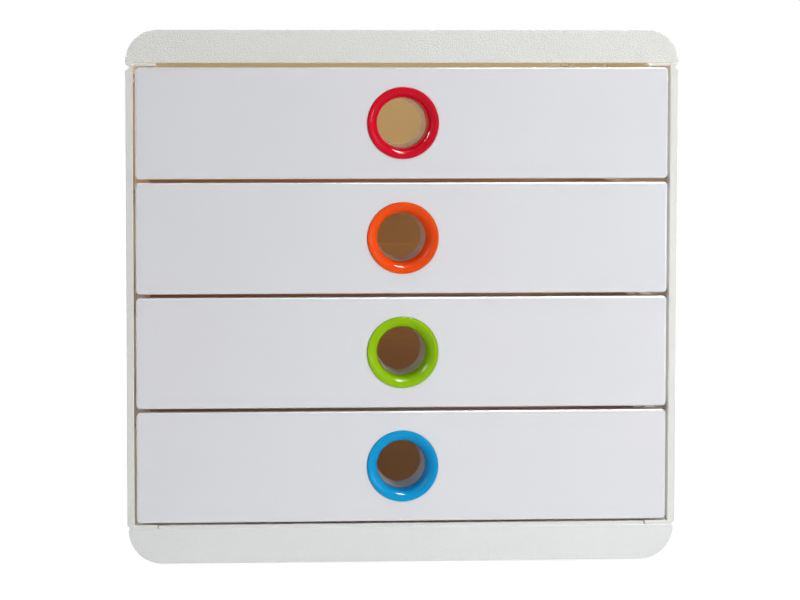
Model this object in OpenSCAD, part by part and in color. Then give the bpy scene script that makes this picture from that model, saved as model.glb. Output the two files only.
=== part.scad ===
// Desktop cabinet with four drawers for loose sheets, in moulded plastic.
// Millimetres, +Z up. The origin is on the table, below the middle of the cabinet.
// The drawers are numbered from the top and open towards -Y.

/* [Casing] */
// Width over the two side panels
casing_w = 265; // [258:1:290]
// Depth from the front edge to the back edge
casing_d = 340; // [330:1:380]
// Height of the lid
lid_h = 15.8; // [15.4:0.1:20]
// Radius of the lid's two long upper edges
lid_edge_r = 15.2; // [8:0.1:15.3]
// Width of the base
base_w = 263.6; // [262:0.1:265]
// Height of the base
base_h = 16.8; // [16.4:0.1:20]
// Radius of the base's two long lower edges
base_edge_r = 16.2; // [8:0.1:16.3]
// Wall of the lid and of the base
shell_t = 2.4; // [2:0.1:3]
// Thickness of a side panel
side_t = 3.5; // [3.5:0.05:4.5]
// Height of the groove that runs along a side panel just under its upper flange
fold_h = 3; // [2:0.1:3.4]
// Depth of that groove
fold_d = 1.9; // [1:0.1:1.9]
// Slant cut along a side panel's lower outer edge
seam_cut = 1.7; // [0.5:0.1:1.7]
// How far the side panels' flanges reach in from their outer faces
flange_reach = 14.5; // [14.5:0.5:17]

/* [Drawers] */
// Width of a drawer front
front_w = 255.8; // [254:0.1:255.8]
// Height of a drawer front
front_h = 53.4; // [53:0.1:60]
// Gap between two drawer fronts
front_gap = 1.7; // [1:0.1:3]
// Gap between the top drawer's front and the lid
top_gap = 2; // [1.8:0.1:3]
// Gap between the bottom drawer's front and the base
bottom_gap = 2.7; // [2.6:0.1:5]
// Depth of a drawer front, from its face to the tray behind it
front_d = 8.6; // [8.2:0.1:10]
// Thickness of the face of a drawer front
face_t = 2.4; // [2.2:0.1:3]
// Radius of the corners of a drawer front
front_corner_r = 2; // [1:0.1:4]
// How far a drawer slides out, up to its stops
drawer_travel = 244; // [100:1:244]

/* [Finger ring] */
// Radius of the ring's lip
lip_r = 17.1; // [16.8:0.1:18]
// Radius of the ring's throat
throat_r = 11.75; // [11:0.05:12]
// How far the lip stands out from the drawer front
lip_proud = 0.6; // [0.3:0.1:0.6]
// Radius of the far end of the finger tube, which narrows from the ring inwards
tube_end_r = 10.8; // [10.6:0.1:12]
// Depth of the ring from its lip to its throat
funnel_d = 10; // [8:0.5:10]
// Length of the finger tube from the face of the drawer front
tube_l = 26; // [18:0.5:26]

/* [Feet] */
// Radius of a foot pad
foot_r = 7; // [5:0.5:8]
// How far the foot pads lift the base from the table
foot_proud = 1; // [0.5:0.1:2]

/* [Hidden] */
$fn = 64;
drawer_count = 4;
foot_names = ["foot_front_left", "foot_front_right", "foot_back_left", "foot_back_right"];

casing_white = [0.87, 0.87, 0.85];
front_white = [0.90, 0.91, 0.93];
tray_white = [0.86, 0.83, 0.77];
foot_grey = [0.45, 0.45, 0.45];
screw_steel = [0.62, 0.62, 0.63];
ring_colors = [[0.85, 0.03, 0.12], [0.98, 0.30, 0.05], [0.52, 0.75, 0.02], [0.05, 0.55, 0.85]];

// Heights of the casing's joints
base_top = foot_proud + base_h;
stack_z = base_top + bottom_gap;
drawer_pitch = front_h + front_gap;
lid_z = stack_z + drawer_count * drawer_pitch - front_gap + top_gap;
panel_h = lid_z - base_top;

// Side panels
panel_inner_x = casing_w / 2 - side_t;
flange_inner_x = casing_w / 2 - flange_reach;
top_flange_t = 1.4;
bottom_flange_t = 1.8;
flange_setback = 0.6;
fold_margin = 0.55;
fold_z = lid_z - fold_margin - fold_h / 2;
lid_edge_cut = 0.4;
base_edge_cut = 0.8;

// Back panel, held in grooves of the side panels and behind the skirts of the lid and base
back_t = 2;
back_clearance = 0.3;
groove_d = 1;
back_y = casing_d / 2 - shell_t - back_clearance - back_t;
back_tongue = 3;
back_tongue_inset = 6;
back_field_d = 0.6;
back_field_margin = 18;
back_field_r = 8;

// Ribs inside the lid and the base
rib_t = 1.6;
rib_h = 2;
rib_spacing_x = 58;
rib_spacing_y = 80;
base_lip_h = 1.6;
base_lip_t = 2;
base_lip_gap = 0.4;

// Screws that hold the lid and the base to the flanges
screw_x = casing_w / 2 - 10;
screw_ys = [-casing_d / 2 + 25, 0, casing_d / 2 - 25];
screw_r = 1.45;
screw_hole_r = 1.7;
screw_grip = 8;
screw_tip = 1.5;
head_r = 2.9;
head_h = 1.6;
head_bevel = 0.5;
drive_l = 3.6;
drive_w = 0.8;
drive_d = 0.9;
boss_r = 3.6;
pilot_r = 1.5;
pilot_d = 10;
boss_gap = 4.3;

// Foot pads, each let into a pocket of the base
foot_x = casing_w / 2 - 26;
foot_y = casing_d / 2 - 28;
foot_sunk = 1.2;
foot_clearance = 0.15;
foot_bevel = 0.4;

// Drawer front, in a drawer's own height above the lower edge of its front
face_y = -casing_d / 2 + lip_proud;
face_bevel = 0.6;
skirt_t = 2;
tray_front_y = face_y + front_d;
stay_xs = [-104, -64, -34, 34, 64, 104];
stay_t = 1.4;
stay_gap = 2;

// Drawer tray
tray_w = 246.4;
tray_back_y = casing_d / 2 - 12;
tray_bottom_z = 1.5;
tray_t = 2;
tray_corner_r = 5;
lip_z = 46.5;
rim_t = 1.6;
rim_top_z = lip_z + rim_t;
rim_reach = 4.9;
rim_front_y = tray_front_y + 4;
sole_l = 280;
sole_w = 3;
sole_h = 0.8;
sole_x = 70;

// Runners on the side panels: a rail under each rim and a guide above its front end
runner_reach = 5;
runner_front_y = tray_front_y + 3;
runner_back_y = tray_back_y + 2;
rail_t = 1.8;
rail_z = lip_z - 0.3 - rail_t;
guide_t = 1.6;
guide_z = rim_top_z + 0.4;
guide_l = 63;
stop_clearance = 0.5;
stop_t = 3;
stop_y = runner_front_y + guide_l + drawer_travel + stop_clearance;

// Snap hooks of the drawer front, in slots of the tray's front wall
hook_xs = [-84, 84];
hook_w = 8;
hook_t = 1.6;
hook_low_z = 7;
hook_high_z = 40;
nose_h = 1;
nose_l = 2;
nose_play = 0.2;
slot_play = 0.4;
slot_catch = 0.3;
slot_room = 1.8;

// Finger ring and the tube that is moulded behind the drawer front
lip_t = 1.2;
lip_flat = 0.7;
lip_round = 0.25;
ring_body_r = 14.4;
ring_end = funnel_d + 0.4;
fit_gap = 0.1;
collar_r = 16.8;
tube_inner_r = 12;
tube_t = 1.9;
collar_play = 0.3;
funnel_steps = 14;

// Spare length of a cut past the faces that it goes through
spare = 1;

function drawer_z(number) = stack_z + (drawer_count - number) * drawer_pitch;

module rounded_rect(w, h, r) {
    square([w - 2 * r, h], center = true);
    square([w, h - 2 * r], center = true);
    for (across = [-1, 1], up = [-1, 1])
        translate([across * (w / 2 - r), up * (h / 2 - r)])
            circle(r = r);
}

// An outline with a flat lower side at 0 and two rounded upper corners
module arch_outline(w, h, r) {
    translate([-w / 2, 0])
        square([w, h - r]);
    translate([-w / 2 + r, 0])
        square([w - 2 * r, h]);
    for (across = [-1, 1])
        translate([across * (w / 2 - r), h - r])
            intersection() {
                circle(r = r);
                translate([-r, 0])
                    square([2 * r, r]);
            }
}

// Stretches an outline in X and Z along Y
module along_depth(front_y, back_y) {
    translate([0, back_y, 0])
        rotate([90, 0, 0])
            linear_extrude(height = back_y - front_y)
                children();
}

// Turns a profile of radius and depth about the axis of a drawer's finger hole
module about_finger_hole() {
    translate([0, face_y, front_h / 2])
        rotate([-90, 0, 0])
            children();
}

// A square bar along Y that takes a slant of one size off an edge
module edge_cut(x, z, size) {
    translate([x, 0, z])
        rotate([0, 45, 0])
            cube([size * sqrt(2), casing_d + 2 * spare, size * sqrt(2)], center = true);
}

module at_screws() {
    for (across = [-1, 1], y = screw_ys)
        translate([across * screw_x, y, 0])
            children();
}

// The lid's shell, open side down at height 0. The base is the same form upside down.
module casing_shell(w, h, r, cut) {
    difference() {
        union() {
            difference() {
                along_depth(-casing_d / 2, casing_d / 2)
                    arch_outline(w, h, r);
                along_depth(-casing_d / 2 + shell_t, casing_d / 2 - shell_t)
                    translate([0, -spare])
                        arch_outline(w - 2 * shell_t, h - shell_t + spare, r - shell_t);
                for (across = [-1, 1])
                    edge_cut(across * w / 2, 0, cut);
            }
            shell_ribs(w, h, r);
            at_screws()
                cylinder(r = boss_r, h = h - boss_gap);
        }
        at_screws()
            translate([0, 0, -spare])
                cylinder(r = pilot_r, h = pilot_d + spare);
    }
}

module shell_ribs(w, h, r) {
    rib_z = h - shell_t - rib_h;
    cross_l = w - 2 * r;
    for (step = [-1 : 1])
        translate([step * rib_spacing_x - rib_t / 2, -casing_d / 2 + spare, rib_z])
            cube([rib_t, casing_d - 2 * spare, rib_h + spare]);
    for (step = [-1.5 : 1.5])
        translate([-cross_l / 2, step * rib_spacing_y - rib_t / 2, rib_z])
            cube([cross_l, rib_t, rib_h + spare]);
}

module lid() {
    color(casing_white)
        translate([0, 0, lid_z])
            casing_shell(casing_w, lid_h, lid_edge_r, lid_edge_cut);
}

module base() {
    color(casing_white)
        difference() {
            union() {
                translate([0, 0, base_top])
                    mirror([0, 0, 1])
                        casing_shell(base_w, base_h, base_edge_r, base_edge_cut);
                base_lip();
            }
            for (across = [-1, 1], along = [-1, 1])
                translate([across * foot_x, along * foot_y, foot_proud - spare])
                    cylinder(r = foot_r + foot_clearance, h = foot_sunk + spare);
        }
}

// A low wall along the front of the base, between the side panels' flanges
module base_lip() {
    lip_l = 2 * (flange_inner_x - base_lip_gap);
    translate([-lip_l / 2, -casing_d / 2 + shell_t - base_lip_t / 2, base_top - base_lip_h])
        cube([lip_l, base_lip_t, 2 * base_lip_h]);
}

// The left panel: a web with a flange at each end, the runners and the groove for the back
module side_panel() {
    color(casing_white)
        difference() {
            union() {
                translate([-casing_w / 2, -casing_d / 2, base_top])
                    cube([side_t, casing_d, panel_h]);
                side_flanges();
                for (number = [1 : drawer_count])
                    translate([0, 0, drawer_z(number)])
                        runner();
            }
            edge_cut(-casing_w / 2, base_top, seam_cut);
            fold_groove();
            translate([-panel_inner_x - groove_d, back_y - back_clearance / 2, base_top - spare])
                cube([groove_d + spare, back_t + back_clearance, panel_h + 2 * spare]);
            for (y = screw_ys)
                translate([-screw_x, y, base_top - spare])
                    cylinder(r = screw_hole_r, h = panel_h + 2 * spare);
        }
}

module side_flanges() {
    root_x = -casing_w / 2 + side_t / 2;
    flange_l = back_y - 2 * flange_setback + casing_d / 2;
    for (flange = [[lid_z - top_flange_t, top_flange_t], [base_top, bottom_flange_t]])
        translate([root_x, -casing_d / 2 + flange_setback, flange[0]])
            cube([-flange_inner_x - root_x, flange_l, flange[1]]);
}

// The groove in the outer face that parts the upper flange from the web
module fold_groove() {
    translate([-casing_w / 2, 0, fold_z])
        along_depth(-casing_d / 2 - spare, casing_d / 2 + spare)
            polygon([
                [-fold_d, -fold_h],
                [fold_d, 0],
                [-fold_d, fold_h]
            ]);
}

module runner() {
    root_x = -panel_inner_x - spare;
    translate([root_x, runner_front_y, rail_z])
        cube([runner_reach + spare, runner_back_y - runner_front_y, rail_t]);
    translate([root_x, runner_front_y, guide_z])
        cube([runner_reach + spare, guide_l, guide_t]);
}

module back_panel() {
    field_w = 2 * panel_inner_x - 2 * back_field_margin;
    field_h = panel_h - 2 * back_field_margin;
    plate_w = 2 * (panel_inner_x + groove_d - back_clearance);
    plate_h = panel_h - 2 * back_clearance;
    tongue_w = 2 * (panel_inner_x - back_tongue_inset);
    color(casing_white)
        difference() {
            translate([0, 0, base_top + panel_h / 2])
                along_depth(back_y, back_y + back_t) {
                    square([plate_w, plate_h], center = true);
                    square([tongue_w, panel_h + 2 * back_tongue], center = true);
                }
            translate([0, 0, base_top + panel_h / 2])
                along_depth(back_y + back_t - back_field_d, back_y + back_t + spare)
                    rounded_rect(field_w, field_h, back_field_r);
        }
}

// A pan-head screw with a cross drive: the head hangs below 0 and the shank rises from it
module casing_screw(grip) {
    difference() {
        rotate_extrude()
            polygon([
                [0, -head_h],
                [head_r - head_bevel, -head_h],
                [head_r, -head_h + head_bevel],
                [head_r, 0],
                [screw_r, 0],
                [screw_r, grip - screw_tip],
                [0, grip]
            ]);
        for (turn = [0, 90])
            rotate([0, 0, turn])
                translate([-drive_l / 2, -drive_w / 2, -head_h - spare])
                    cube([drive_l, drive_w, drive_d + spare]);
    }
}

module lid_screws() {
    color(screw_steel)
        translate([0, 0, lid_z - top_flange_t])
            at_screws()
                casing_screw(top_flange_t + screw_grip);
}

module base_screws() {
    color(screw_steel)
        translate([0, 0, base_top + bottom_flange_t])
            mirror([0, 0, 1])
                at_screws()
                    casing_screw(bottom_flange_t + screw_grip);
}

module foot(across, along) {
    color(foot_grey)
        translate([across * foot_x, along * foot_y, 0])
            rotate_extrude()
                polygon([
                    [0, 0],
                    [foot_r - foot_bevel, 0],
                    [foot_r, foot_bevel],
                    [foot_r, foot_proud + foot_sunk],
                    [0, foot_proud + foot_sunk]
                ]);
}

// The open box that holds the sheets, with rims that hang over the rails
module drawer_tray() {
    tray_l = tray_back_y - tray_front_y;
    middle_y = (tray_back_y + tray_front_y) / 2;
    color(tray_white)
        difference() {
            union() {
                difference() {
                    translate([0, middle_y, tray_bottom_z])
                        linear_extrude(height = rim_top_z - tray_bottom_z)
                            rounded_rect(tray_w, tray_l, tray_corner_r);
                    translate([0, middle_y, tray_bottom_z + tray_t])
                        linear_extrude(height = rim_top_z)
                            rounded_rect(tray_w - 2 * tray_t, tray_l - 2 * tray_t, tray_corner_r - tray_t);
                }
                for (across = [-1, 1])
                    mirror([across > 0 ? 1 : 0, 0, 0])
                        tray_rim();
                for (across = [-1, 1])
                    translate([across * sole_x - sole_w / 2, middle_y - sole_l / 2, tray_bottom_z - sole_h])
                        cube([sole_w, sole_l, sole_h + tray_t / 2]);
            }
            about_finger_hole()
                cylinder(r = collar_r + collar_play, h = front_d + 2 * tray_t);
            for (x = hook_xs)
                translate([x, tray_front_y - spare, 0])
                    hook_slots();
        }
}

// The rim on the left, with the stop that meets the end of the guide
module tray_rim() {
    root_x = -tray_w / 2 + tray_t / 2;
    reach = rim_reach + tray_t / 2;
    translate([root_x - reach, rim_front_y, lip_z])
        cube([reach, tray_back_y - tray_corner_r - rim_front_y, rim_t]);
    translate([root_x - reach, stop_y, lip_z])
        cube([rim_reach, stop_t, guide_z + guide_t - lip_z]);
}

module hook_slots() {
    slot_w = hook_w + 2 * slot_play;
    slot_h = slot_room + hook_t + slot_catch;
    translate([-slot_w / 2, 0, hook_low_z - slot_catch])
        cube([slot_w, tray_t + 2 * spare, slot_h]);
    translate([-slot_w / 2, 0, hook_high_z - slot_room])
        cube([slot_w, tray_t + 2 * spare, slot_h]);
}

// A hollow-backed front with the finger tube, stays behind the face and four snap hooks
module drawer_front() {
    color(front_white)
        difference() {
            union() {
                front_shell();
                about_finger_hole() {
                    cylinder(r = collar_r, h = ring_end + face_t / 2);
                    cylinder(r1 = tube_inner_r + tube_t, r2 = tube_end_r + tube_t, h = tube_l);
                }
                for (x = stay_xs)
                    translate([x - stay_t / 2, face_y + face_t / 2, skirt_t / 2])
                        cube([stay_t, front_d - stay_gap - face_t / 2, front_h - skirt_t]);
                for (x = hook_xs)
                    translate([x - hook_w / 2, face_y + face_t / 2, 0])
                        snap_hooks();
            }
            about_finger_hole()
                rotate_extrude()
                    polygon([
                        [0, -spare],
                        [lip_r + fit_gap, -spare],
                        [lip_r + fit_gap, lip_t + fit_gap - lip_proud + spare / 2],
                        [ring_body_r + fit_gap, lip_t + fit_gap - lip_proud + spare / 2],
                        [ring_body_r + fit_gap, ring_end],
                        [tube_inner_r, ring_end],
                        [tube_end_r, tube_l],
                        [tube_end_r, tube_l + spare],
                        [0, tube_l + spare]
                    ]);
        }
}

module front_shell() {
    middle_z = front_h / 2;
    difference() {
        translate([0, 0, middle_z])
            along_depth(face_y, face_y + front_d)
                rounded_rect(front_w, front_h, front_corner_r);
        translate([0, 0, middle_z])
            along_depth(face_y + face_t, face_y + front_d + spare)
                rounded_rect(front_w - 2 * skirt_t, front_h - 2 * skirt_t, front_corner_r / 2);
        for (up = [-1, 1])
            translate([0, face_y, middle_z + up * front_h / 2])
                rotate([45, 0, 0])
                    cube([front_w + spare, face_bevel * sqrt(2), face_bevel * sqrt(2)], center = true);
        for (across = [-1, 1])
            translate([across * front_w / 2, face_y, middle_z])
                rotate([0, 0, 45])
                    cube([face_bevel * sqrt(2), face_bevel * sqrt(2), front_h + spare], center = true);
    }
}

// Two arms through the tray's front wall, each with a nose that holds it there
module snap_hooks() {
    arm_l = front_d - face_t / 2 + tray_t + nose_play + nose_l;
    translate([0, 0, hook_low_z])
        cube([hook_w, arm_l, hook_t]);
    translate([0, arm_l - nose_l, hook_low_z - nose_h])
        cube([hook_w, nose_l, nose_h + hook_t]);
    translate([0, 0, hook_high_z])
        cube([hook_w, arm_l, hook_t]);
    translate([0, arm_l - nose_l, hook_high_z])
        cube([hook_w, nose_l, nose_h + hook_t]);
}

// The coloured insert: a flat lip that rolls over into the throat in a quarter of an ellipse
module finger_ring(number) {
    mouth_r = lip_r - lip_flat;
    color(ring_colors[number - 1])
        about_finger_hole()
            rotate_extrude()
                polygon(concat(
                    [
                        [lip_r, -lip_proud + lip_round],
                        [lip_r - lip_round, -lip_proud]
                    ],
                    [for (step = [0 : funnel_steps])
                        let (angle = 90 * step / funnel_steps)
                        [
                            throat_r + (mouth_r - throat_r) * (1 - sin(angle)),
                            -lip_proud + funnel_d * (1 - cos(angle))
                        ]
                    ],
                    [
                        [throat_r, ring_end],
                        [ring_body_r, ring_end],
                        [ring_body_r, lip_t],
                        [lip_r, lip_t]
                    ]
                ));
}

lid();
base();
side_panel();  // left_side_panel
mirror([1, 0, 0]) side_panel();  // right_side_panel
back_panel();
lid_screws();
base_screws();
foot(-1, -1);
foot(1, -1);
foot(-1, 1);
foot(1, 1);
for (number = [1 : drawer_count])
    translate([0, 0, drawer_z(number)]) {
        drawer_tray();
        drawer_front();
        finger_ring(number);
    }
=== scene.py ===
from math import cos, pi, radians, sin, tau

import bmesh
import bpy
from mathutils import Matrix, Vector


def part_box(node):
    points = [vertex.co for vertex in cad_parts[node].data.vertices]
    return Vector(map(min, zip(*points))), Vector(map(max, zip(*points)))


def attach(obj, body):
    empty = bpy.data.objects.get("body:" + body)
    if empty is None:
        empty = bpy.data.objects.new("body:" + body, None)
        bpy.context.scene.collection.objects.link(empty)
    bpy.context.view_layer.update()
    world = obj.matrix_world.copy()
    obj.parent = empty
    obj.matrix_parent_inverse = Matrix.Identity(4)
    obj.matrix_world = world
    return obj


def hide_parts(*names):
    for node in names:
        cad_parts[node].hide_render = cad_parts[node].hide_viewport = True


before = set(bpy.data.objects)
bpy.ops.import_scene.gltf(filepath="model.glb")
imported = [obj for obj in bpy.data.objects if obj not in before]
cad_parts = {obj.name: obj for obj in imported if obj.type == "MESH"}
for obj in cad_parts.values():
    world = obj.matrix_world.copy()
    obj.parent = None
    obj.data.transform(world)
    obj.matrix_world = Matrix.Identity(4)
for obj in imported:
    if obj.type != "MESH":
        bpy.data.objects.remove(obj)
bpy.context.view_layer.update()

MM = 0.001
DRAWERS = (1, 2, 3, 4)

# ---------------------------------------------------------------------------
# Sizes that aren't read from the frame
# ---------------------------------------------------------------------------
# The finger rings: the lip, the throat and the body in the drawer front's socket
LIP_FLAT = 0.7 * MM
LIP_ROUND = 0.3 * MM
LIP_DEPTH = 1.8 * MM
THROAT_R = 11.75 * MM
THROAT_LAND = 1.0 * MM
RING_BODY_R = 14.4 * MM
RING_EDGE = 0.2 * MM
RING_STEPS = 168
# The rings' funnel: its slope at both ends of each stretch, in degrees from facing the front, and the
# stretch's share of its length
FUNNEL_BENDS = ((0, 30, 1.6), (30, 50, 1.8), (50, 80, 2.2), (80, 90, 6.5))
FUNNEL_STEPS = 8
# Depth of the drawer fronts' chamfer, and how nearly a flat face's normal lies along an axis
CHAMFER = 0.6 * MM
FLAT = 0.99
# Edge radius of each kind of piece. Edges sharper than the angle get it, in this many facets
SHELL_EDGE = 0.4 * MM
PANEL_EDGE = 0.25 * MM
DRAWER_EDGE = 0.3 * MM
EDGE_ANGLE = radians(32)
EDGE_FACETS = 3
# Points nearer than this are one, and faces that bend less than this are one
SAME_POINT = 0.002 * MM
SAME_FACE = radians(0.5)
# Spacing of the planes that cut wide faces, and how far before a whole step each stands, so that none
# falls on an edge of the solids
WIDEST_FACE = 31 * MM
CUT_OFFSET = 0.37
ON_PLANE = 0.0001 * MM


# ---------------------------------------------------------------------------
# Shader tree helpers
# ---------------------------------------------------------------------------
def place(tree, kind, settings=None, **inputs):
    """A node of this kind, with its settings, and a value or a link for each named input."""
    made = tree.nodes.new(kind)
    for name, value in (settings or {}).items():
        setattr(made, name, value)
    for name, value in inputs.items():
        feed(tree, made.inputs[name.replace("_", " ")], value)
    return made


def feed(tree, socket, value):
    if isinstance(value, bpy.types.NodeSocket):
        tree.links.new(value, socket)
    else:
        socket.default_value = value


def maths(tree, operation, first, second=0.0, clamp=False):
    made = tree.nodes.new("ShaderNodeMath")
    made.operation = operation
    made.use_clamp = clamp
    feed(tree, made.inputs[0], first)
    feed(tree, made.inputs[1], second)
    return made.outputs[0]


def blend_colors(tree, factor, first, second, kind="MIX"):
    made = tree.nodes.new("ShaderNodeMix")
    made.data_type = "RGBA"
    made.blend_type = kind
    feed(tree, made.inputs[0], factor)
    feed(tree, made.inputs[6], first)
    feed(tree, made.inputs[7], second)
    return made.outputs[2]


def stretch(tree, value, from_low, from_high, to_low, to_high, smooth=False):
    made = tree.nodes.new("ShaderNodeMapRange")
    made.interpolation_type = "SMOOTHSTEP" if smooth else "LINEAR"
    for index, number in enumerate((value, from_low, from_high, to_low, to_high)):
        feed(tree, made.inputs[index], number)
    return made.outputs[0]


def new_group(name, inputs, outputs):
    """A shader group with named value or color sockets, and its two end nodes."""
    group = bpy.data.node_groups.new(name, "ShaderNodeTree")
    for socket_name, kind, default in inputs:
        socket = group.interface.new_socket(socket_name, in_out="INPUT", socket_type=kind)
        socket.default_value = default
    for socket_name, kind in outputs:
        group.interface.new_socket(socket_name, in_out="OUTPUT", socket_type=kind)
    return group, group.nodes.new("NodeGroupInput").outputs, group.nodes.new("NodeGroupOutput").inputs


def use_group(tree, group, **inputs):
    made = tree.nodes.new("ShaderNodeGroup")
    made.node_tree = group
    for name, value in inputs.items():
        feed(tree, made.inputs[name.replace("_", " ")], value)
    return made.outputs


def object_place(tree):
    return tree.nodes.new("ShaderNodeTexCoord").outputs["Object"]


# ---------------------------------------------------------------------------
# Effects that several finishes share
# ---------------------------------------------------------------------------
DUST_COLOR = (0.32, 0.30, 0.27, 1)


def make_moulded_grain():
    """The fine pebble that an etched mould leaves: height for a bump, and a mask of the pits."""
    tree, given, result = new_group(
        "moulded_grain",
        [("Cells per Metre", "NodeSocketFloat", 800.0), ("Fine Share", "NodeSocketFloat", 0.3)],
        [("Height", "NodeSocketFloat"), ("Pits", "NodeSocketFloat")],
    )
    where = object_place(tree)
    warp = place(tree, "ShaderNodeTexNoise", Vector=where, Detail=1.0,
                 Scale=maths(tree, "MULTIPLY", given["Cells per Metre"], 0.8))
    nudge = place(tree, "ShaderNodeVectorMath", {"operation": "SCALE"})
    feed(tree, nudge.inputs[0], warp.outputs["Color"])
    feed(tree, nudge.inputs["Scale"], maths(tree, "DIVIDE", 0.7, given["Cells per Metre"]))
    moved = place(tree, "ShaderNodeVectorMath", {"operation": "ADD"})
    feed(tree, moved.inputs[0], where)
    feed(tree, moved.inputs[1], nudge.outputs[0])
    pebble = place(tree, "ShaderNodeTexVoronoi", {"feature": "SMOOTH_F1"}, Vector=moved.outputs[0],
                   Scale=given["Cells per Metre"], Smoothness=0.6)
    fine = place(tree, "ShaderNodeTexNoise", Vector=where, Detail=2.0, Roughness=0.6,
                 Scale=maths(tree, "MULTIPLY", given["Cells per Metre"], 2.2))
    dome = stretch(tree, pebble.outputs["Distance"], 0.1, 0.75, 1.0, 0.0, smooth=True)
    mixed = maths(tree, "MULTIPLY", dome, maths(tree, "SUBTRACT", 1.0, given["Fine Share"]))
    grit = maths(tree, "MULTIPLY", fine.outputs["Fac"], given["Fine Share"])
    feed(tree, result["Height"], maths(tree, "ADD", mixed, grit))
    feed(tree, result["Pits"], stretch(tree, dome, 0.35, 0.0, 0.0, 1.0, smooth=True))
    return tree


def make_plastic_tone():
    """Uneven colour of a moulded part: broad drift, faint flow lines and a little settled dust."""
    tree, given, result = new_group(
        "plastic_tone",
        [("Color", "NodeSocketColor", (0.8, 0.8, 0.8, 1)),
         ("Drift Color", "NodeSocketColor", (0.8, 0.8, 0.8, 1)),
         ("Drift", "NodeSocketFloat", 0.5),
         ("Dust", "NodeSocketFloat", 0.02)],
        [("Color", "NodeSocketColor")],
    )
    where = object_place(tree)
    broad = place(tree, "ShaderNodeTexNoise", Vector=where, Scale=9.0, Detail=2.0, Roughness=0.45)
    share = stretch(tree, broad.outputs["Fac"], 0.35, 0.65, 0.0, 1.0, smooth=True)
    drifted = blend_colors(tree, maths(tree, "MULTIPLY", share, given["Drift"]), given["Color"],
                           given["Drift Color"])
    specks = place(tree, "ShaderNodeTexNoise", Vector=where, Scale=420.0, Detail=3.0, Roughness=0.7)
    dust = stretch(tree, specks.outputs["Fac"], 0.58, 0.78, 0.0, 1.0, smooth=True)
    soiled = maths(tree, "MULTIPLY", dust, given["Dust"])
    feed(tree, result["Color"], blend_colors(tree, soiled, drifted, DUST_COLOR))
    return tree


def make_handling():
    """Roughness of a part that hands have touched: broad smears and short hairline scratches."""
    tree, given, result = new_group(
        "handling",
        [("Roughness", "NodeSocketFloat", 0.3), ("Smear", "NodeSocketFloat", 0.05),
         ("Scratches", "NodeSocketFloat", 0.05)],
        [("Roughness", "NodeSocketFloat"), ("Scratch Height", "NodeSocketFloat")],
    )
    where = object_place(tree)
    smear = place(tree, "ShaderNodeTexNoise", Vector=where, Scale=26.0, Detail=4.0, Roughness=0.55,
                  Distortion=0.6)
    smeared = stretch(tree, smear.outputs["Fac"], 0.3, 0.7, -1.0, 1.0)
    stretched = place(tree, "ShaderNodeMapping", Vector=where)
    stretched.inputs["Scale"].default_value = (900, 900, 38)
    stretched.inputs["Rotation"].default_value = (0.4, 0.9, 0.3)
    hair = place(tree, "ShaderNodeTexNoise", Vector=stretched.outputs[0], Scale=1.0, Detail=2.0)
    scratch = stretch(tree, hair.outputs["Fac"], 0.70, 0.76, 0.0, 1.0, smooth=True)
    total = maths(tree, "ADD", given["Roughness"], maths(tree, "MULTIPLY", smeared, given["Smear"]))
    total = maths(tree, "ADD", total, maths(tree, "MULTIPLY", scratch, given["Scratches"]), clamp=True)
    feed(tree, result["Roughness"], total)
    feed(tree, result["Scratch Height"], maths(tree, "MULTIPLY", scratch, -1.0))
    return tree


moulded_grain = make_moulded_grain()
plastic_tone = make_plastic_tone()
handling = make_handling()


# ---------------------------------------------------------------------------
# Finishes
# ---------------------------------------------------------------------------
# Shade in the pits of the grain, and how much of it shows
PIT_COLOR = (0.45, 0.44, 0.41, 1)
PIT_SHARE = 0.05
CASING_IOR = 1.46
POLISHED_IOR = 1.5
SCRATCH_DEPTH = 0.004 * MM
ZINC_SCRATCH_DEPTH = 0.01 * MM
RUBBER_RELIEF = 0.06 * MM


def new_material(name):
    material = bpy.data.materials.new(name)
    material.use_nodes = True
    tree = material.node_tree
    tree.nodes.clear()
    return material, tree, tree.nodes.new("ShaderNodeOutputMaterial").inputs["Surface"]


def bump(tree, height, distance, strength=1.0, normal=None):
    made = place(tree, "ShaderNodeBump", Height=height, Distance=distance, Strength=strength)
    if normal is not None:
        feed(tree, made.inputs["Normal"], normal)
    return made.outputs[0]


def pass_light(tree, surface, shader, tint):
    """Thin moulded walls let a warm part of the lamps' light through to what is behind them."""
    path = tree.nodes.new("ShaderNodeLightPath")
    through = place(tree, "ShaderNodeBsdfTransparent", Color=(*tint, 1))
    mixed = tree.nodes.new("ShaderNodeMixShader")
    tree.links.new(path.outputs["Is Shadow Ray"], mixed.inputs[0])
    tree.links.new(shader, mixed.inputs[1])
    tree.links.new(through.outputs[0], mixed.inputs[2])
    tree.links.new(mixed.outputs[0], surface)


def grained_plastic(name, color, drift_color, cells, relief, roughness, gloss=0.5, tint=None):
    """Moulded plastic with an etched grain."""
    material, tree, surface = new_material(name)
    tone = use_group(tree, plastic_tone, Color=(*color, 1), Drift_Color=(*drift_color, 1), Dust=0.03)
    grain = use_group(tree, moulded_grain, Cells_per_Metre=cells, Fine_Share=0.35)
    touch = use_group(tree, handling, Roughness=roughness, Smear=0.05, Scratches=0.04)
    pitted = blend_colors(tree, maths(tree, "MULTIPLY", grain["Pits"], PIT_SHARE), tone["Color"],
                          PIT_COLOR)
    shader = place(tree, "ShaderNodeBsdfPrincipled", Base_Color=pitted, Roughness=touch["Roughness"],
                   Normal=bump(tree, grain["Height"], relief))
    shader.inputs["IOR"].default_value = CASING_IOR
    shader.inputs["Specular IOR Level"].default_value = gloss
    if tint:
        pass_light(tree, surface, shader.outputs[0], tint)
    else:
        tree.links.new(shader.outputs[0], surface)
    return material


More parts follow.
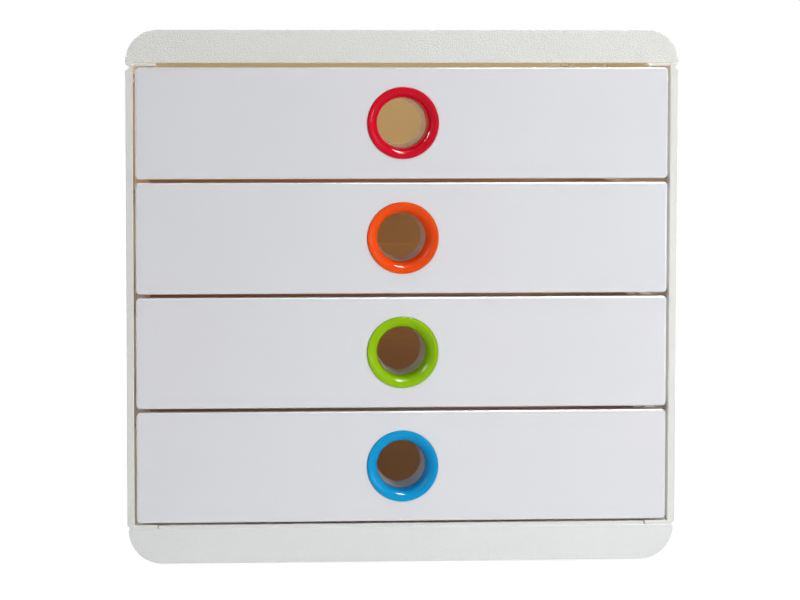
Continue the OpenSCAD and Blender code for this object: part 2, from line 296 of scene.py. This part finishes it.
def glossy_plastic(name, color, drift_color, roughness=0.12, smear=0.035, swell=0.48 * MM, gloss=0.5,
                   tint=None):
    """Smooth polished plastic: a faint swell that bends its reflections, and light handling."""
    material, tree, surface = new_material(name)
    tone = use_group(tree, plastic_tone, Color=(*color, 1), Drift_Color=(*drift_color, 1), Dust=0.012)
    touch = use_group(tree, handling, Roughness=roughness, Smear=smear, Scratches=0.12)
    waves = place(tree, "ShaderNodeTexNoise", Vector=object_place(tree), Scale=34.0, Detail=1.0)
    swollen = bump(tree, waves.outputs["Fac"], swell)
    shader = place(tree, "ShaderNodeBsdfPrincipled", Base_Color=tone["Color"],
                   Roughness=touch["Roughness"],
                   Normal=bump(tree, touch["Scratch Height"], SCRATCH_DEPTH, normal=swollen))
    shader.inputs["IOR"].default_value = POLISHED_IOR
    shader.inputs["Specular IOR Level"].default_value = gloss
    if tint:
        pass_light(tree, surface, shader.outputs[0], tint)
    else:
        tree.links.new(shader.outputs[0], surface)
    return material


def foot_rubber_finish():
    material, tree, surface = new_material("foot_rubber")
    tone = use_group(tree, plastic_tone, Color=(0.30, 0.30, 0.30, 1), Drift_Color=(0.24, 0.24, 0.235, 1),
                     Dust=0.25)
    grain = use_group(tree, moulded_grain, Cells_per_Metre=2400.0, Fine_Share=0.7)
    touch = use_group(tree, handling, Roughness=0.78, Smear=0.06, Scratches=0.0)
    shader = place(tree, "ShaderNodeBsdfPrincipled", Base_Color=tone["Color"],
                   Roughness=touch["Roughness"], Normal=bump(tree, grain["Height"], RUBBER_RELIEF))
    tree.links.new(shader.outputs[0], surface)
    return material


def screw_steel_finish():
    """Zinc plate: fine turning lines round the head and dull patches."""
    material, tree, surface = new_material("screw_steel")
    tone = use_group(tree, plastic_tone, Color=(0.60, 0.60, 0.61, 1), Drift_Color=(0.50, 0.50, 0.48, 1),
                     Dust=0.3)
    touch = use_group(tree, handling, Roughness=0.34, Smear=0.12, Scratches=0.2)
    shader = place(tree, "ShaderNodeBsdfPrincipled", Base_Color=tone["Color"],
                   Roughness=touch["Roughness"],
                   Normal=bump(tree, touch["Scratch Height"], ZINC_SCRATCH_DEPTH))
    shader.inputs["Metallic"].default_value = 1.0
    tree.links.new(shader.outputs[0], surface)
    return material


# What one face of a wall lets through of a lamp's light, in red, green and blue
LID_TINT = (0.97, 0.86, 0.68)
SIDE_TINT = (0.95, 0.945, 0.92)
TRAY_TINT = (0.635, 0.48, 0.335)
FRONT_TINT = (0.30, 0.22, 0.14)

lid_finish = grained_plastic("lid_plastic", (0.835, 0.835, 0.80), (0.82, 0.825, 0.795), 1700.0,
                             0.22 * MM, 0.55, gloss=0.3, tint=LID_TINT)
base_finish = grained_plastic("base_plastic", (0.80, 0.82, 0.815), (0.79, 0.81, 0.805), 1600.0,
                              0.11 * MM, 0.5, tint=LID_TINT)
side_finish = grained_plastic("side_plastic", (0.80, 0.80, 0.77), (0.785, 0.79, 0.765), 1300.0,
                              0.05 * MM, 0.5, tint=SIDE_TINT)
# Lighter colour on the casing's rounded edges: a painted highlight along every edge
casing_bevel_highlight = glossy_plastic("casing_bevel_painted_highlight", (0.88, 0.88, 0.86), (0.86, 0.87, 0.85),
                                    roughness=0.4, tint=SIDE_TINT)
front_finish = glossy_plastic("front_plastic", (0.785, 0.80, 0.83), (0.80, 0.79, 0.825),
                              tint=FRONT_TINT)
# Lighter colour on the drawer fronts' rounded edges and chamfer: a painted highlight
front_bevel_highlight = glossy_plastic("front_bevel_painted_highlight", (0.88, 0.88, 0.89), (0.87, 0.87, 0.88),
                                   roughness=0.4, gloss=0.03, tint=FRONT_TINT)
tray_finish = glossy_plastic("tray_plastic", (0.78, 0.70, 0.56), (0.77, 0.69, 0.55), roughness=0.55,
                             swell=0.036 * MM, gloss=0.25, tint=TRAY_TINT)
foot_finish = foot_rubber_finish()
screw_finish = screw_steel_finish()
RINGS = {
    1: ("red_ring", (0.70, 0.002, 0.022), (0.66, 0.001, 0.018)),
    2: ("orange_ring", (0.95, 0.085, 0.004), (0.92, 0.075, 0.003)),
    3: ("lime_ring", (0.30, 0.56, 0.001), (0.28, 0.54, 0.001)),
    4: ("blue_ring", (0.001, 0.34, 0.70), (0.001, 0.32, 0.67)),
}
ring_finish = {n: glossy_plastic(name, color, drift, roughness=0.06, smear=0.01, swell=0.12 * MM,
                                 gloss=0.09)
               for n, (name, color, drift) in RINGS.items()}


# ---------------------------------------------------------------------------
# Pieces
# ---------------------------------------------------------------------------
def dress(piece, material):
    piece.data.materials.clear()
    piece.data.materials.append(material)


def add_piece(name, bm, material, body, slot, *nodes):
    mesh = bpy.data.meshes.new(name)
    bm.to_mesh(mesh)
    bm.free()
    piece = bpy.data.objects.new(name, mesh)
    bpy.context.scene.collection.objects.link(piece)
    for face in mesh.polygons:
        face.use_smooth = True
    dress(piece, material)
    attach(piece, body)
    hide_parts(*nodes)
    return piece


def cut_up(bm, spacing):
    """Cuts wide many-sided faces, so that each of them fills cleanly however it is triangulated."""
    for axis in range(3):
        low = min(vertex.co[axis] for vertex in bm.verts)
        high = max(vertex.co[axis] for vertex in bm.verts)
        direction = Vector([1.0 if index == axis else 0.0 for index in range(3)])
        for step in range(1, int((high - low) / spacing) + 1):
            bmesh.ops.bisect_plane(bm, geom=bm.verts[:] + bm.edges[:] + bm.faces[:], dist=ON_PLANE,
                                   plane_co=direction * (low + (step - CUT_OFFSET) * spacing),
                                   plane_no=direction)
    bmesh.ops.triangulate(bm, faces=[face for face in bm.faces if len(face.verts) > 4])


def mark_slopes(bm, node):
    """A drawer front's chamfer takes the lighter colour of its edges, a painted highlight."""
    low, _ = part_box(node)
    bm.normal_update()
    for face in bm.faces:
        if face.calc_center_median().y < low.y + CHAMFER and abs(face.normal.y) < FLAT:
            face.material_index = 1


def softened(node, material, body, slot, radius, edge_highlight_material=None, shape=None):
    """A moulded piece with its real edge radius: the node's form with every sharp edge rounded."""
    bm = bmesh.new()
    bm.from_mesh(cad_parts[node].data)
    bmesh.ops.remove_doubles(bm, verts=bm.verts, dist=SAME_POINT)
    bmesh.ops.dissolve_limit(bm, angle_limit=SAME_FACE, verts=bm.verts, edges=bm.edges)
    if shape:
        shape(bm, node)
    sharp = bpy.data.meshes.new(node + "_sharp")
    bm.to_mesh(sharp)
    bm.free()
    blank = bpy.data.objects.new(node + "_sharp", sharp)
    bpy.context.scene.collection.objects.link(blank)
    rounding = blank.modifiers.new("edge_radius", "BEVEL")
    rounding.width = radius
    rounding.segments = EDGE_FACETS
    rounding.limit_method = "ANGLE"
    rounding.angle_limit = EDGE_ANGLE
    rounding.use_clamp_overlap = False
    rounding.miter_outer = "MITER_ARC"
    # The rounded edge faces take a lighter colour than the piece: a painted highlight
    if edge_highlight_material:
        sharp.materials.append(material)
        sharp.materials.append(edge_highlight_material)
        rounding.material = 1
    bm = bmesh.new()
    bm.from_object(blank, bpy.context.evaluated_depsgraph_get())
    bpy.data.objects.remove(blank)
    cut_up(bm, WIDEST_FACE)
    piece = add_piece(node + "_moulded", bm, material, body, slot, node)
    if edge_highlight_material:
        piece.data.materials.append(edge_highlight_material)
    weighted = piece.modifiers.new("even_shading", "WEIGHTED_NORMAL")
    weighted.keep_sharp = True
    return piece


def turned(name, profile, centre, steps, material, body, slot, *nodes):
    """A closed profile of (radius, depth) turned about the axis of a finger hole."""
    bm = bmesh.new()
    rows = []
    for step in range(steps):
        angle = tau * step / steps
        rows.append([bm.verts.new((centre.x + r * cos(angle), centre.y + d, centre.z + r * sin(angle)))
                     for r, d in profile])
    for step in range(steps):
        here, there = rows[step], rows[(step + 1) % steps]
        for index in range(len(profile)):
            after = (index + 1) % len(profile)
            bm.faces.new((here[index], there[index], there[after], here[after]))
    bmesh.ops.recalc_face_normals(bm, faces=bm.faces)
    return add_piece(name, bm, material, body, slot, *nodes)


def arc(centre_r, centre_d, radius, start, end, steps):
    """Points of an arc in (radius, depth), with its angles in degrees from the outward radius."""
    return [(centre_r + radius * cos(radians(start + (end - start) * i / steps)),
             centre_d + radius * sin(radians(start + (end - start) * i / steps)))
            for i in range(steps + 1)]


def ring_profile(lip_r, depth):
    """A rounded lip, a trumpet-shaped funnel, and the body in the front's socket."""
    mouth_r = lip_r - LIP_FLAT
    funnel_depth = depth - THROAT_LAND
    points = arc(lip_r - LIP_ROUND, LIP_ROUND, LIP_ROUND, 0, -90, 5)
    funnel = [(0.0, 0.0)]
    for start, end, length in FUNNEL_BENDS:
        for step in range(FUNNEL_STEPS):
            slope = radians(start + (end - start) * (step + 0.5) / FUNNEL_STEPS)
            inward, deep = funnel[-1]
            funnel.append((inward + cos(slope) * length / FUNNEL_STEPS,
                           deep + sin(slope) * length / FUNNEL_STEPS))
    inward, deep = funnel[-1]
    points += [(mouth_r - (mouth_r - THROAT_R) * i / inward, funnel_depth * d / deep) for i, d in funnel]
    points += [(THROAT_R, depth - RING_EDGE), (THROAT_R + RING_EDGE, depth),
               (RING_BODY_R - RING_EDGE, depth), (RING_BODY_R, depth - RING_EDGE),
               (RING_BODY_R, LIP_DEPTH), (lip_r - RING_EDGE, LIP_DEPTH), (lip_r, LIP_DEPTH - RING_EDGE)]
    return points


for node, finish, radius in (("lid", lid_finish, SHELL_EDGE), ("base", base_finish, SHELL_EDGE),
                             ("left_side_panel", side_finish, PANEL_EDGE),
                             ("right_side_panel", side_finish, PANEL_EDGE),
                             ("back_panel", side_finish, PANEL_EDGE)):
    softened(node, finish, "cabinet", "casing_plastic", radius, casing_bevel_highlight)
for foot in ("foot_front_left", "foot_front_right", "foot_back_left", "foot_back_right"):
    dress(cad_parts[foot], foot_finish)
for screws in ("lid_screws", "base_screws"):
    dress(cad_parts[screws], screw_finish)
for number in DRAWERS:
    drawer = f"drawer_{number}"
    softened(drawer + "_tray", tray_finish, drawer, "tray_plastic", DRAWER_EDGE)
    softened(drawer + "_front", front_finish, drawer, "front_plastic", DRAWER_EDGE, front_bevel_highlight,
             shape=mark_slopes)
    ring_low, ring_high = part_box(drawer + "_ring")
    middle = (ring_low + ring_high) / 2
    profile = ring_profile((ring_high.x - ring_low.x) / 2, ring_high.y - ring_low.y)
    turned(drawer + "_ring_insert", profile, Vector((middle.x, ring_low.y, middle.z)), RING_STEPS,
           ring_finish[number], drawer, RINGS[number][0], drawer + "_ring")


# ---------------------------------------------------------------------------
# Studio
# ---------------------------------------------------------------------------
# White that the camera and mirror-like reflections meet, and the level that lights the object
BACKDROP_WHITE = 1.0
AMBIENT = 0.21
# The table top's own white, and its tone where lamps fall on it, seen and as it lights things
FLOOR_WHITE = 0.86
FLOOR_FADE = (0.35, 1.0)
FLOOR_TONE_SEEN = 0.3
FLOOR_TONE = 0.8


def seen_directly(tree):
    """1 for rays from the camera, off gloss and through glass, and 0 for those that light things."""
    path = tree.nodes.new("ShaderNodeLightPath")
    either = maths(tree, "MAXIMUM", path.outputs["Is Camera Ray"], path.outputs["Is Glossy Ray"])
    return maths(tree, "MAXIMUM", either, path.outputs["Is Transmission Ray"])


def make_world():
    world = bpy.data.worlds.new("studio")
    bpy.context.scene.world = world
    world.use_nodes = True
    tree = world.node_tree
    tree.nodes.clear()
    lit = place(tree, "ShaderNodeBackground", Color=(1, 1, 1, 1), Strength=AMBIENT)
    shown = place(tree, "ShaderNodeBackground", Color=(1, 1, 1, 1), Strength=BACKDROP_WHITE)
    mixed = tree.nodes.new("ShaderNodeMixShader")
    feed(tree, mixed.inputs[0], seen_directly(tree))
    feed(tree, mixed.inputs[1], lit.outputs[0])
    feed(tree, mixed.inputs[2], shown.outputs[0])
    output = tree.nodes.new("ShaderNodeOutputWorld")
    feed(tree, output.inputs["Surface"], mixed.outputs[0])


def make_floor():
    """A wide pale table top. Its lit part shows as white, and shadows stay on it."""
    bm = bmesh.new()
    bmesh.ops.create_grid(bm, x_segments=8, y_segments=8, size=6.0)
    mesh = bpy.data.meshes.new("table_top")
    bm.to_mesh(mesh)
    bm.free()
    floor = bpy.data.objects.new("table_top", mesh)
    bpy.context.scene.collection.objects.link(floor)
    material, tree, surface = new_material("table_top")
    seen = seen_directly(tree)
    gray = stretch(tree, seen, 0.0, 1.0, FLOOR_TONE, FLOOR_TONE_SEEN)
    pale = place(tree, "ShaderNodeBsdfDiffuse", Color=gray)
    away = place(tree, "ShaderNodeVectorMath", {"operation": "LENGTH"})
    feed(tree, away.inputs[0], object_place(tree))
    own_white = stretch(tree, away.outputs["Value"], *FLOOR_FADE, FLOOR_WHITE, 1.0, smooth=True)
    white = place(tree, "ShaderNodeEmission", Color=(1, 1, 1, 1),
                  Strength=maths(tree, "MULTIPLY", seen, own_white))
    both = tree.nodes.new("ShaderNodeAddShader")
    feed(tree, both.inputs[0], pale.outputs[0])
    feed(tree, both.inputs[1], white.outputs[0])
    feed(tree, surface, both.outputs[0])
    mesh.materials.append(material)


# Name, place, aim, width and height, watts, and whether it lights more than gloss
LAMPS = (
    ("key_right", (0.90, -1.05, 0.65), (0, -0.1, 0.1), (0.6, 0.6), 5.1, True),
    ("low_front", (0.45, -0.75, 0.10), (0, -0.17, 0.13), (0.16, 0.16), 1.3, True),
    ("top", (0.10, -0.25, 1.30), (0, 0, 0.1), (0.6, 0.6), 6.4, True),
    ("fill_left", (-1.30, -0.75, 0.35), (0, 0, 0.12), (0.6, 0.6), 1.2, True),
    ("side_left", (-1.50, 0.35, 0.50), (0, 0, 0.12), (0.8, 0.8), 7.0, True),
    ("back", (0.50, 1.70, 0.25), (0, 0, 0.12), (0.8, 0.4), 3.0, True),
    ("top_sheen", (0.32, -0.36, 1.30), (0, -0.17, 0.13), (0.75, 0.26), 62.0, False),
    ("left_sheen", (-1.03, -0.27, 0.81), (0, -0.17, 0.13), (0.10, 0.50), 22.0, False),
)


def softbox(name, place_at, aim, size, watts, lights_all):
    lamp = bpy.data.lights.new(name, "AREA")
    lamp.shape = "RECTANGLE"
    lamp.size, lamp.size_y = size
    lamp.energy = watts
    holder = bpy.data.objects.new(name, lamp)
    bpy.context.scene.collection.objects.link(holder)
    holder.location = place_at
    holder.rotation_euler = (Vector(aim) - Vector(place_at)).to_track_quat("-Z", "Y").to_euler()
    holder.visible_diffuse = lights_all


# The camera stands before the upper left of the drawers, and looks nearly square at them
CAMERA_PLACE = Vector((-0.120, -1.570, 0.245))
CAMERA_DROP = radians(3.996)
CAMERA_TURN = radians(-3.589)
CAMERA_LENS = 132.1
CAMERA_SHIFT = (0.08, -0.05)


def make_camera():
    camera = bpy.data.cameras.new("camera")
    camera.lens = CAMERA_LENS
    camera.shift_x, camera.shift_y = CAMERA_SHIFT
    camera.clip_start = 0.05
    holder = bpy.data.objects.new("camera", camera)
    bpy.context.scene.collection.objects.link(holder)
    holder.location = CAMERA_PLACE
    holder.rotation_euler = (pi / 2 - CAMERA_DROP, 0, CAMERA_TURN)
    bpy.context.scene.camera = holder


make_world()
make_floor()
make_camera()
for lamp in LAMPS:
    softbox(*lamp)
bpy.context.scene.view_settings.view_transform = "Standard"
